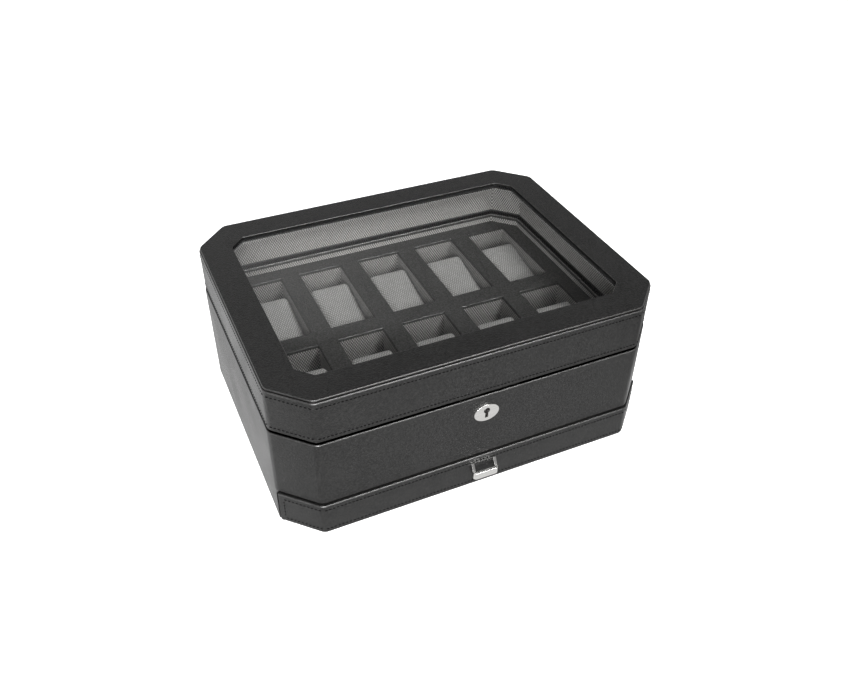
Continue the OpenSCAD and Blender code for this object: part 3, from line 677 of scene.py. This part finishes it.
class WATCHBOX_OT_top_panel(Operator):
    """Leather-covered border around the window"""

    bl_idname = "watchbox.top_panel"
    bl_label = "Top panel"

    def execute(self, context):
        sizes = context.scene.watch_box_sizes
        t, low, high = PANEL_INSET, TOP_LOW.z, TOP_HIGH.z
        border, window = 28.5 * MM, 20 * MM
        piece = block("top_panel", t, low, high)
        hollow(border - t)
        pick("EDGE", lambda e: upright(e) and at_depth(e, border))
        bevel(sizes.window_r, 8)
        pick("EDGE", lambda e: upright(e) and at_depth(e, t))
        bevel(sizes.corner_r, 4)
        pick("EDGE", lambda e: level(e, high) and shallower(e, t + 1 * MM))
        bevel(sizes.panel_r, 4)
        pick("EDGE", lambda e: level(e, low) and shallower(e, t + 1 * MM))
        bevel(1.4 * MM, 4)
        pick("EDGE", lambda e: level(e, high) and deeper(e, window) and by_wall(e))
        bevel(0.8 * MM, 3)
        face_outwards()
        finish(piece, leather(), "lid", "leather", "top_leather")
        paint_edge_highlight(piece)
        # The window's inner walls get the darker, duller leather: painted shade.
        refinish(piece, shaded_window_leather(), lambda face: depth(face.center) > window and abs(face.normal.z) < 0.3)
        return {"FINISHED"}


class WATCHBOX_OT_tray(Operator):
    """Leather sheet over the tray, turned down into every well"""

    bl_idname = "watchbox.tray"
    bl_label = "Tray leather"

    def execute(self, context):
        sizes = context.scene.watch_box_sizes
        low, high = TRAY_LOW.z, TRAY_HIGH.z
        wells = [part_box(name) for name in CUSHIONS]
        well_w, well_l, half_bar = 41.5 * MM, 91.5 * MM, 9.4 * MM
        centres_x = sorted({round((a.x + b.x) / 2, 5) for a, b in wells})
        row = half_bar + well_l / 2
        deselect()
        bpy.ops.mesh.primitive_plane_add(size=1, location=(0, 0, high))
        piece = context.object
        piece.name = "tray_cover"
        piece.scale = (TRAY_HIGH.x - TRAY_LOW.x, TRAY_HIGH.y - TRAY_LOW.y, 1)
        settle()
        edit(piece)
        bpy.ops.mesh.select_all(action="SELECT")
        bevel(corner_cut(TRAY_INSET), 1, "VERTICES")
        cuts = [((x + side * well_w / 2, 0, high), (1, 0, 0)) for x in centres_x for side in (-1, 1)]
        cuts += [((0, y + side * well_l / 2, high), (0, 1, 0)) for y in (-row, row) for side in (-1, 1)]
        for place, across in cuts:
            bpy.ops.mesh.select_all(action="SELECT")
            bpy.ops.mesh.bisect(plane_co=place, plane_no=across)

        def in_well(co, margin=0.0):
            return (any(abs(co.x - x) < well_w / 2 + margin for x in centres_x)
                    and abs(abs(co.y) - row) < well_l / 2 + margin)

        pick("FACE", lambda f: in_well(f.calc_center_median()))
        bpy.ops.mesh.delete(type="FACE")
        pick("EDGE", lambda e: e.is_boundary and in_well((e.verts[0].co + e.verts[1].co) / 2, 0.1 * MM))
        extrude(0, 0, low - high)
        pick("EDGE", upright)
        bevel(0.5 * MM, 2)
        pick("EDGE", lambda e: level(e, high) and len(e.link_faces) == 2 and by_wall(e))
        bevel(sizes.mouth_r, 3)
        weld()
        modify(piece, "SOLIDIFY", thickness=SKIN, offset=-1.0, use_even_offset=True)
        # The tray gets the paler inner leather: painted light.
        finish(piece, lightened_inner_leather(), "base", "leather", "tray_leather")
        paint_edge_highlight(piece)
        return {"FINISHED"}


class WATCHBOX_OT_linings(Operator):
    """Woven lining of the wells, the rim, the lid, the window frame and the drawer"""

    bl_idname = "watchbox.linings"
    bl_label = "Linings"

    def execute(self, context):
        paint(shaded_well_lining(), "well_liners")
        paint(lining(), "rim_liner", "lid_liner", "drawer_lining")
        paint(frame_lining(), "glass_frame")
        left, right = (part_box("drawer_dividers")[k] for k in (0, 1))
        half = 2 * MM
        for name, x in (("drawer_divider_left", left.x + half), ("drawer_divider_right", right.x - half)):
            piece = cube(name, (x - half, left.y, left.z), (x + half, right.y, right.z))
            edit(piece)
            pick("EDGE", lambda e: level(e, right.z))
            bevel(1.6 * MM, 4)
            finish(piece, lining(), "drawer", "lining_fabric", "drawer_dividers")
        return {"FINISHED"}


class WATCHBOX_OT_glass(Operator):
    """Clear pane in the lid"""

    bl_idname = "watchbox.glass"
    bl_label = "Glass"

    def execute(self, context):
        paint(once("clear_glass", lambda name: make_glass(name, palette().glass)), "glass_pane")
        return {"FINISHED"}


def cushion_form(low, high):
    """One padded cushion in the space of its CAD solid: a shaped block, inflated as cloth."""
    middle = (low + high) / 2
    slope, gap, cap, spare = 12 * MM, 1 * MM, 2.2 * MM, 0.1 * MM
    last_step = 20
    piece = cube("cushion_form", low + Vector((gap, gap, 0.2 * MM)), high - Vector((gap, gap, 1.2 * MM)))
    edit(piece)
    pick("VERT", lambda v: v.co.z > middle.z and v.co.y < middle.y)
    bpy.ops.transform.translate(value=(0, 0, -slope))
    pick("EDGE", lambda e: True)
    bevel(4.2 * MM, 4)
    choose(piece)
    piece.data.remesh_voxel_size = 3.2 * MM
    bpy.ops.object.voxel_remesh()
    rest = [v.co.copy() for v in piece.data.vertices]
    bpy.ops.object.modifier_add(type="CLOTH")
    cloth = piece.modifiers[-1]
    cloth.settings.use_pressure = True
    cloth.settings.uniform_pressure_force = 4.0
    cloth.settings.effector_weights.gravity = 0.0
    cloth.settings.quality = 6
    cloth.point_cache.frame_start = 1
    cloth.point_cache.frame_end = last_step
    for step in range(1, last_step + 1):
        bpy.context.scene.frame_set(step)
    bpy.ops.object.modifier_apply(modifier=cloth.name)
    bpy.context.scene.frame_set(1)
    for vertex, start in zip(piece.data.vertices, rest):
        move = vertex.co - start
        if move.length > cap:
            move *= cap / move.length
        co = start + move
        co.x = min(max(co.x, low.x - spare), high.x + spare)
        co.y = min(max(co.y, low.y), high.y)
        co.z = max(co.z, low.z)
        vertex.co = co
    modify(piece, "SUBSURF", levels=1, render_levels=1)
    edit(piece)
    bpy.ops.mesh.select_all(action="SELECT")
    bpy.ops.uv.cube_project(cube_size=1.0, correct_aspect=False, scale_to_bounds=False)
    deselect()
    piece.data.uv_layers[0].name = "Cloth"
    return piece


class WATCHBOX_OT_cushions(Operator):
    """A woven foam cushion in each of the ten wells"""

    bl_idname = "watchbox.cushions"
    bl_label = "Cushions"

    def execute(self, context):
        low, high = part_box(CUSHIONS[0])
        form = cushion_form(low, high)
        cloth = cushion_cloth()
        for name in CUSHIONS:
            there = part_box(name)[0]
            choose(form)
            bpy.ops.object.duplicate()
            piece = context.object
            piece.name = name.replace("cushion", "pad")
            piece.location = there - low
            settle()
            choose(piece)
            bpy.ops.object.shade_smooth()
            dress(piece, cloth)
            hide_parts(name)
            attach(piece, name)
        bpy.data.objects.remove(form)
        return {"FINISHED"}


class WATCHBOX_OT_drawer_front(Operator):
    """Leather over the drawer front, wrapped round both front corners"""

    bl_idname = "watchbox.drawer_front"
    bl_label = "Drawer front"

    def execute(self, context):
        sizes = context.scene.watch_box_sizes
        proud = HALF_D + FRONT_LOW.y
        low, high = FRONT_LOW.z, FRONT_HIGH.z
        thick = 9.5 * MM
        piece = block("drawer_cover", proud, low, high)
        hollow(thick)
        end_gap = 2.2 * MM
        for side in (-1, 1):
            bpy.ops.mesh.select_all(action="SELECT")
            corner = Vector((side * HALF_W, CORNER_CUT - HALF_D - end_gap, 0))
            bpy.ops.mesh.bisect(plane_co=corner, plane_no=(side * MITRE_SLOPE, 1, 0), use_fill=True, clear_outer=True)
        face_outwards()

        def at_corner(e):
            return at_depth(e, proud) and all(v.co.y < CORNER_CUT - HALF_D - 4 * MM for v in e.verts)

        def at_end(e):
            return all(abs(v.co.x) > HALF_W - 2 * MM for v in e.verts)

        pick("EDGE", lambda e: upright(e) and at_corner(e))
        bevel(sizes.corner_r, 4)
        pick("EDGE", lambda e: (level(e, high) and shallower(e, proud + 1 * MM)) or (at_end(e) and upright(e)))
        bevel(sizes.edge_r, 4)
        pick("EDGE", lambda e: level(e, low) and shallower(e, proud + 1.8 * MM) and by_wall(e))
        bevel(1.8 * MM, 4)
        finish(piece, leather(), "drawer", "leather", "drawer_front_leather")
        paint_edge_highlight(piece)
        return {"FINISHED"}


class WATCHBOX_OT_pull(Operator):
    """U-shaped strap pull with its two threaded legs"""

    bl_idname = "watchbox.pull"
    bl_label = "Drawer pull"

    def execute(self, context):
        low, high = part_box("drawer_pull")
        strap, bend, fall = 2.6 * MM, 3.2 * MM, 6.5 * MM
        leg_r, overlap = 1.05 * MM, 1 * MM
        face = -HALF_D - 1.5 * MM
        root = low.z + fall
        z = (root + high.z) / 2

        def turn_corner(x):
            bpy.ops.mesh.spin(steps=5, angle=-math.pi / 2, center=(x, low.y + bend, z), axis=(0, 0, 1))

        deselect()
        bpy.ops.mesh.primitive_plane_add(size=1, location=(low.x + strap / 2, face, z), rotation=(math.pi / 2, 0, 0))
        piece = context.object
        piece.name = "pull_strap"
        piece.scale = (strap, high.z - root, 1)
        settle()
        edit(piece)
        bpy.ops.mesh.select_all(action="SELECT")
        extrude(0, low.y + bend - face, 0)
        turn_corner(low.x + bend)
        extrude(high.x - low.x - 2 * bend, 0, 0)
        turn_corner(high.x - bend)
        extrude(0, face - low.y - bend, 0)
        weld()
        bpy.ops.mesh.normals_make_consistent(inside=False)
        pick("VERT", lambda v: v.co.y < face - 0.1 * MM)
        bpy.ops.transform.translate(value=(0, 0, -fall))
        modify(piece, "BEVEL", width=0.5 * MM, segments=3, limit_method="ANGLE", angle_limit=math.radians(50))
        legs = []
        reach = high.y - face
        for side in (-1, 1):
            deselect()
            place = (side * (high.x - strap / 2), face + (reach - overlap) / 2, z)
            bpy.ops.mesh.primitive_cylinder_add(vertices=20, radius=leg_r, depth=reach + overlap, location=place,
                                                rotation=(math.pi / 2, 0, 0))
            leg = context.object
            settle()
            edit(leg)
            pick("EDGE", lambda e: all(v.co.y > high.y - 0.1 * MM for v in e.verts))
            bevel(0.25 * MM, 2)
            legs.append(leg)
        choose(piece, *legs)
        bpy.ops.object.join()
        finish(piece, nickel(), "drawer", "nickel", "drawer_pull")
        # The pull's arms and back faces get the darker nickel: painted shade.
        refinish(piece, shaded_nickel(), lambda side: side.center.y > low.y + strap or side.normal.y > 0.5)
        return {"FINISHED"}


class WATCHBOX_OT_lock_plate(Operator):
    """Oval plate around the keyhole"""

    bl_idname = "watchbox.lock_plate"
    bl_label = "Keyhole plate"

    def execute(self, context):
        low, high = PLATE_LOW, PLATE_HIGH
        size = high - low
        shrink = 0.965
        wide = Vector((shrink * size.x, size.y, shrink * size.z))
        centre = (low + high) / 2
        deselect()
        bpy.ops.mesh.primitive_cylinder_add(vertices=64, radius=0.5, depth=1, location=centre,
                                            rotation=(math.pi / 2, 0, 0))
        piece = context.object
        piece.name = "key_plate"
        bpy.ops.object.transform_apply(location=False, rotation=True, scale=True)
        piece.scale = wide
        settle()
        cut_keyhole(piece, KEY, 5 * MM)
        edit(piece)

        def on_outer_edge(co):
            return near(co.y, low.y) and math.hypot((co.x - centre.x) / wide.x, (co.z - centre.z) / wide.z) > 0.45

        pick("EDGE", lambda e: all(on_outer_edge(v.co) for v in e.verts))
        bevel(0.25 * MM, 3)
        finish(piece, nickel(), "base", "nickel", "escutcheon", angle=35)
        return {"FINISHED"}


class WATCHBOX_OT_hidden_parts(Operator):
    """Finishes of the boards, felt, hinges, screws and lock"""

    bl_idname = "watchbox.hidden_parts"
    bl_label = "Boards and hardware"

    def execute(self, context):
        # The lid's boards and the front panel are black though they are bare board inside the covers: painted shade
        # where they show in the groove under the top panel and through the keyhole.
        paint(painted_board(), "bottom_board", "side_walls", "back_wall", "corner_posts", "shelf_board",
              "front_panel", "drawer_front_board", "drawer_sides", "drawer_back", "drawer_bottom", "drawer_stop",
              "lid_side_walls", "lid_front_wall", "lid_back_wall", "lid_corner_posts", "top_board")
        paint(bare_board(), "tray_rails", "row_divider", "cross_dividers")
        paint(once("black_felt", lambda name: make_felt(name, palette().felt)), "bottom_felt")
        paint(once("runner_strip", lambda name: make_board(name, (0.1, 0.1, 0.1), True)), "drawer_runners")
        paint(nickel(), "lock_faceplate", "lock_screws", "striker", "striker_screws", "hinge_body_leaves",
              "hinge_lid_leaves", "hinge_body_screws", "hinge_lid_screws", "hinge_pins", "pull_nuts")
        paint(steel(), "lock_case", "lock_cam", "lock_bolt")
        return {"FINISHED"}


def stitch_row(name, runs, body):
    """A row of stitches: each run is (start, end, outward normal)."""
    sizes = bpy.context.scene.watch_box_sizes
    rows = []
    for start, end, out in runs:
        run = end - start
        count = max(1, int(run.length / sizes.stitch_pitch))
        step = run / count
        deselect()
        bpy.ops.mesh.primitive_ico_sphere_add(subdivisions=1, radius=0.5)
        stitch = bpy.context.object
        stitch.scale = (sizes.stitch_length, sizes.thread, sizes.thread)
        settle()
        along = run.normalized()
        across = out.cross(along).normalized()
        turn = Matrix((along, across, out.normalized())).transposed().to_4x4()
        stitch.matrix_world = Matrix.Translation(start + step / 2) @ turn
        settle()
        modify(stitch, "ARRAY", count=count, use_relative_offset=False, use_constant_offset=True,
               constant_offset_displace=step)
        rows.append(stitch)
    choose(*rows)
    bpy.ops.object.join()
    piece = bpy.context.object
    piece.name = name
    choose(piece)
    bpy.ops.object.shade_smooth()
    dress(piece, thread())
    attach(piece, body)


def outline(t):
    """Corners of the box's outline, moved in by t, anticlockwise from the front edge's left end."""
    w, d = HALF_W - t, HALF_D - t
    c = corner_cut(t)
    return [Vector(p) for p in ((c - w, -d, 0), (w - c, -d, 0), (w, c - d, 0), (w, d - c, 0),
                                (w - c, d, 0), (c - w, d, 0), (-w, d - c, 0), (-w, c - d, 0))]


def side_runs(t, z, sides):
    """Runs of stitches along the sides of the outline at height z, with a margin at each corner."""
    points = outline(t)
    margin = 1.2 * MM
    runs = []
    for k in sides:
        a, b = points[k] + Vector((0, 0, z)), points[(k + 1) % 8] + Vector((0, 0, z))
        along = (b - a).normalized()
        out = Vector((along.y, -along.x, 0))
        runs.append((a + along * margin, b - along * margin, out))
    return runs


class WATCHBOX_OT_stitching(Operator):
    """Two rows of stitches round the lid and a frame of them on the drawer front"""

    bl_idname = "watchbox.stitching"
    bl_label = "Stitching"

    def execute(self, context):
        sizes = context.scene.watch_box_sizes
        sunk = 0.1 * MM
        inset_z = sizes.stitch_inset
        stitch_row("stitches_lid_upper", side_runs(LID_INSET + sunk, TOP_LOW.z - inset_z, range(8)), "lid")
        stitch_row("stitches_lid_lower", side_runs(LID_INSET + sunk, LID_LOW.z + inset_z, range(8)), "lid")
        proud = HALF_D + FRONT_LOW.y + sunk
        top, bottom = FRONT_HIGH.z - inset_z, FRONT_LOW.z + inset_z
        end, drop = 6.2 * MM, 2 * MM
        runs = []
        for z in (top, bottom):
            left, front, right = side_runs(proud, z, (7, 0, 1))
            left = (left[0] + (left[1] - left[0]).normalized() * end, left[1], left[2])
            right = (right[0], right[1] - (right[1] - right[0]).normalized() * end, right[2])
            runs += [left, front, right]
        for corner, out in ((runs[0][0], runs[0][2]), (runs[2][1], runs[2][2])):
            runs.append((Vector((corner.x, corner.y, top - drop)), Vector((corner.x, corner.y, bottom + drop)), out))
        stitch_row("stitches_drawer", runs, "drawer")
        return {"FINISHED"}


# ---- Stage ----


class WATCHBOX_OT_stage(Operator):
    """Pale floor, soft lights, surroundings and camera"""

    bl_idname = "watchbox.stage"
    bl_label = "Stage"

    def execute(self, context):
        scene = context.scene
        self.floor(scene)
        self.lights()
        self.world(scene)
        self.camera(scene)
        scene.view_settings.view_transform = "Standard"
        return {"FINISHED"}

    def floor(self, scene):
        """Pale floor, white where it is seen; in reflections it glows, brighter in front and dimmer at the right: a
        painted reflection.
        """
        deselect()
        bpy.ops.mesh.primitive_plane_add(size=8, location=(0, 0, 0))
        ground = bpy.context.object
        ground.name = "floor"
        m = Maker("floor")
        rays = m.node("LightPath")
        lit = m.node("BsdfDiffuse", {"Color": rgba(scene.watch_box_colours.floor)})
        glow = m.node("Emission", {"Color": (1, 1, 1, 1), "Strength": 0.8})
        both = m.node("AddShader", {0: lit.outputs[0], 1: glow.outputs[0]})
        seen = m.node("MixShader", {0: rays.outputs["Is Camera Ray"], 1: lit.outputs[0], 2: both.outputs[0]})
        across, away = m.node("SeparateXYZ", {0: m.node("TexCoord").outputs["Object"]}).outputs[:2]
        near_front = m.ramp(away, -0.16, -0.08, 0.68, 1.14)
        left = m.math("MULTIPLY", m.ramp(across, -0.3, -0.15, 0.13, 0.0), m.ramp(away, -0.16, -0.08, -1.0, 1.0))
        level = m.math("MULTIPLY", m.math("ADD", near_front, left), m.ramp(across, 0.2, 0.27, 1.0, 0.35))
        # Glow that only reflections see: painted reflection.
        mirrored = m.node("Emission", {"Color": (1, 1, 1, 1), "Strength": level})
        m.surface(m.node("MixShader", {0: rays.outputs["Is Glossy Ray"], 1: seen.outputs[0], 2: mirrored.outputs[0]}))
        ground.data.materials.append(m.material)

    def lights(self):
        """Three square lamps that point at the middle of the box."""
        target = Vector((0, 0, 0.1))
        for name, place, size, power in (
            ("overhead", (-0.2, -0.3, 1.9), 1.0, 12.0),
            ("key softbox", (0.58, -1.1, 1.6), 0.6, 26.0),
            ("low softbox", (-0.58, -1.45, 0.7), 0.8, 44.0),
        ):
            deselect()
            bpy.ops.object.light_add(type="AREA", location=place)
            lamp = bpy.context.object
            lamp.name = name
            lamp.data.shape = "SQUARE"
            lamp.data.size = size
            lamp.data.energy = power
            lamp.rotation_euler = (target - Vector(place)).to_track_quat("-Z", "Y").to_euler()

    def world(self, scene):
        """Surroundings that are dark overhead, brighter low down, and dim at the right and far left."""
        world = scene.world or bpy.data.worlds.new("surroundings")
        scene.world = world
        m = Maker("surroundings", world)
        x, y, z = m.node("SeparateXYZ", {0: m.node("TexCoord").outputs["Generated"]}).outputs
        edge = math.sin(math.radians(37.8))
        band = {"Value": z, "From Min": 0.3, "From Max": edge, "To Min": 0.75, "To Max": 0.4}
        low = m.node("MapRange", band).outputs[0]
        overhead = m.ramp(z, edge - 0.01, edge + 0.01)
        below = m.math("MULTIPLY", low, m.math("SUBTRACT", 1.0, overhead))
        height = m.math("ADD", below, m.math("MULTIPLY", overhead, 0.12))
        right = m.math("MULTIPLY", m.ramp(x, 0.05, 0.5, 0.0, 0.92), m.ramp(z, 0.22, 0.38))
        side = m.math("MULTIPLY", m.math("SUBTRACT", 1.0, right), m.ramp(x, -0.8, 0.0, 0.5, 1.0))
        m.surface(m.node("Background", {"Color": (1, 1, 1, 1), "Strength": m.math("MULTIPLY", height, side)}))

    def camera(self, scene):
        """Camera in front of the box, to its left and above it."""
        azimuth, elevation, roll = (math.radians(a) for a in (-24.463, 38.369, 0.453))
        aim, distance = Vector((6.863, 3.923, 51.757)) * MM, 801.926 * MM
        image_width, focal_length = 848, 855.402
        flat = math.cos(elevation)
        back = Vector((math.sin(azimuth) * flat, -math.cos(azimuth) * flat, math.sin(elevation)))
        right = Vector((0, 0, 1)).cross(back).normalized()
        up = back.cross(right)
        right, up = right * math.cos(roll) + up * math.sin(roll), up * math.cos(roll) - right * math.sin(roll)
        bpy.ops.object.camera_add()
        camera = bpy.context.object
        camera.name = "camera"
        turn = Matrix((right, up, back)).transposed().to_4x4()
        camera.matrix_world = Matrix.Translation(aim + back * distance) @ turn
        camera.data.sensor_width = 36.0
        camera.data.lens = focal_length * 36.0 / image_width
        scene.camera = camera


# ---- Panel and registration ----

OPERATORS = (
    WATCHBOX_OT_stage,
    WATCHBOX_OT_body_cover,
    WATCHBOX_OT_lid_cover,
    WATCHBOX_OT_top_panel,
    WATCHBOX_OT_tray,
    WATCHBOX_OT_linings,
    WATCHBOX_OT_glass,
    WATCHBOX_OT_cushions,
    WATCHBOX_OT_drawer_front,
    WATCHBOX_OT_pull,
    WATCHBOX_OT_lock_plate,
    WATCHBOX_OT_hidden_parts,
    WATCHBOX_OT_stitching,
)


class WATCHBOX_PT_sidebar(Panel):
    """Lists the watch box's pieces, sizes and colours"""

    bl_label = "Watch Box"
    bl_idname = "WATCHBOX_PT_sidebar"
    bl_space_type = "VIEW_3D"
    bl_region_type = "UI"
    bl_category = "Watch Box"

    def draw(self, context):
        for group in (context.scene.watch_box_sizes, context.scene.watch_box_colours):
            column = self.layout.column(align=True)
            for key in group.__annotations__:
                column.prop(group, key)
        for operator in OPERATORS:
            self.layout.operator(operator.bl_idname)


CLASSES = (WatchBoxSizes, WatchBoxColours, *OPERATORS, WATCHBOX_PT_sidebar)


def register():
    for cls in CLASSES:
        bpy.utils.register_class(cls)
    bpy.types.Scene.watch_box_sizes = PointerProperty(type=WatchBoxSizes)
    bpy.types.Scene.watch_box_colours = PointerProperty(type=WatchBoxColours)


def unregister():
    del bpy.types.Scene.watch_box_colours
    del bpy.types.Scene.watch_box_sizes
    for cls in reversed(CLASSES):
        bpy.utils.unregister_class(cls)


def main():
    register()
    for operator in OPERATORS:
        group, name = operator.bl_idname.split(".")
        getattr(getattr(bpy.ops, group), name)()
    deselect()


if __name__ == "__main__":
    main()
